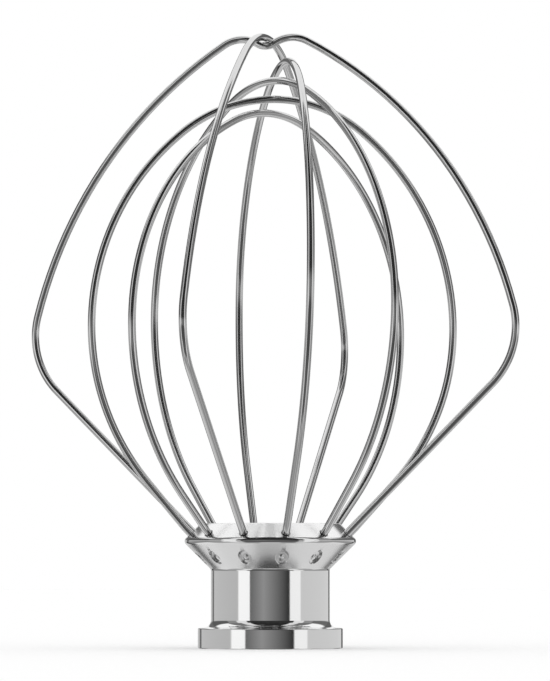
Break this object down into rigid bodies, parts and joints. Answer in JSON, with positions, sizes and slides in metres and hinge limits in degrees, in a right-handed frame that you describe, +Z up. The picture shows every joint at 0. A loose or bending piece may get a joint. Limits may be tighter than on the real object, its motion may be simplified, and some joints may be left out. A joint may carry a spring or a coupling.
{
  "type": "stand mixer wire whisk",
  "caption": "Balloon whisk for a stand mixer: nested loops of bent round wire set in a turned metal hub with a blind bayonet bore, standing upright on the hub's flange.",
  "frame": {"origin": "on the hub's axis, at the underside of the flange that the whisk stands on", "axes": "+Z up along the hub's axis, from the shaft bore towards the wires; the bayonet slot opens towards +Y"},
  "size_m": [0.1362, 0.1322, 0.1626],
  "materials": {
    "hub_metal": "polished, with fine turning lines",
    "wire_steel": "satin, drawn lengthwise"
  },
  "bodies": {
    "root": {"hub": "hub_metal", "outer_loop_over": "wire_steel", "outer_loop_under": "wire_steel", "inner_loop_tall": "wire_steel", "inner_loop_upper": "wire_steel", "inner_loop_lower": "wire_steel", "inner_loop_short": "wire_steel"}
  },
  "joints": []
}
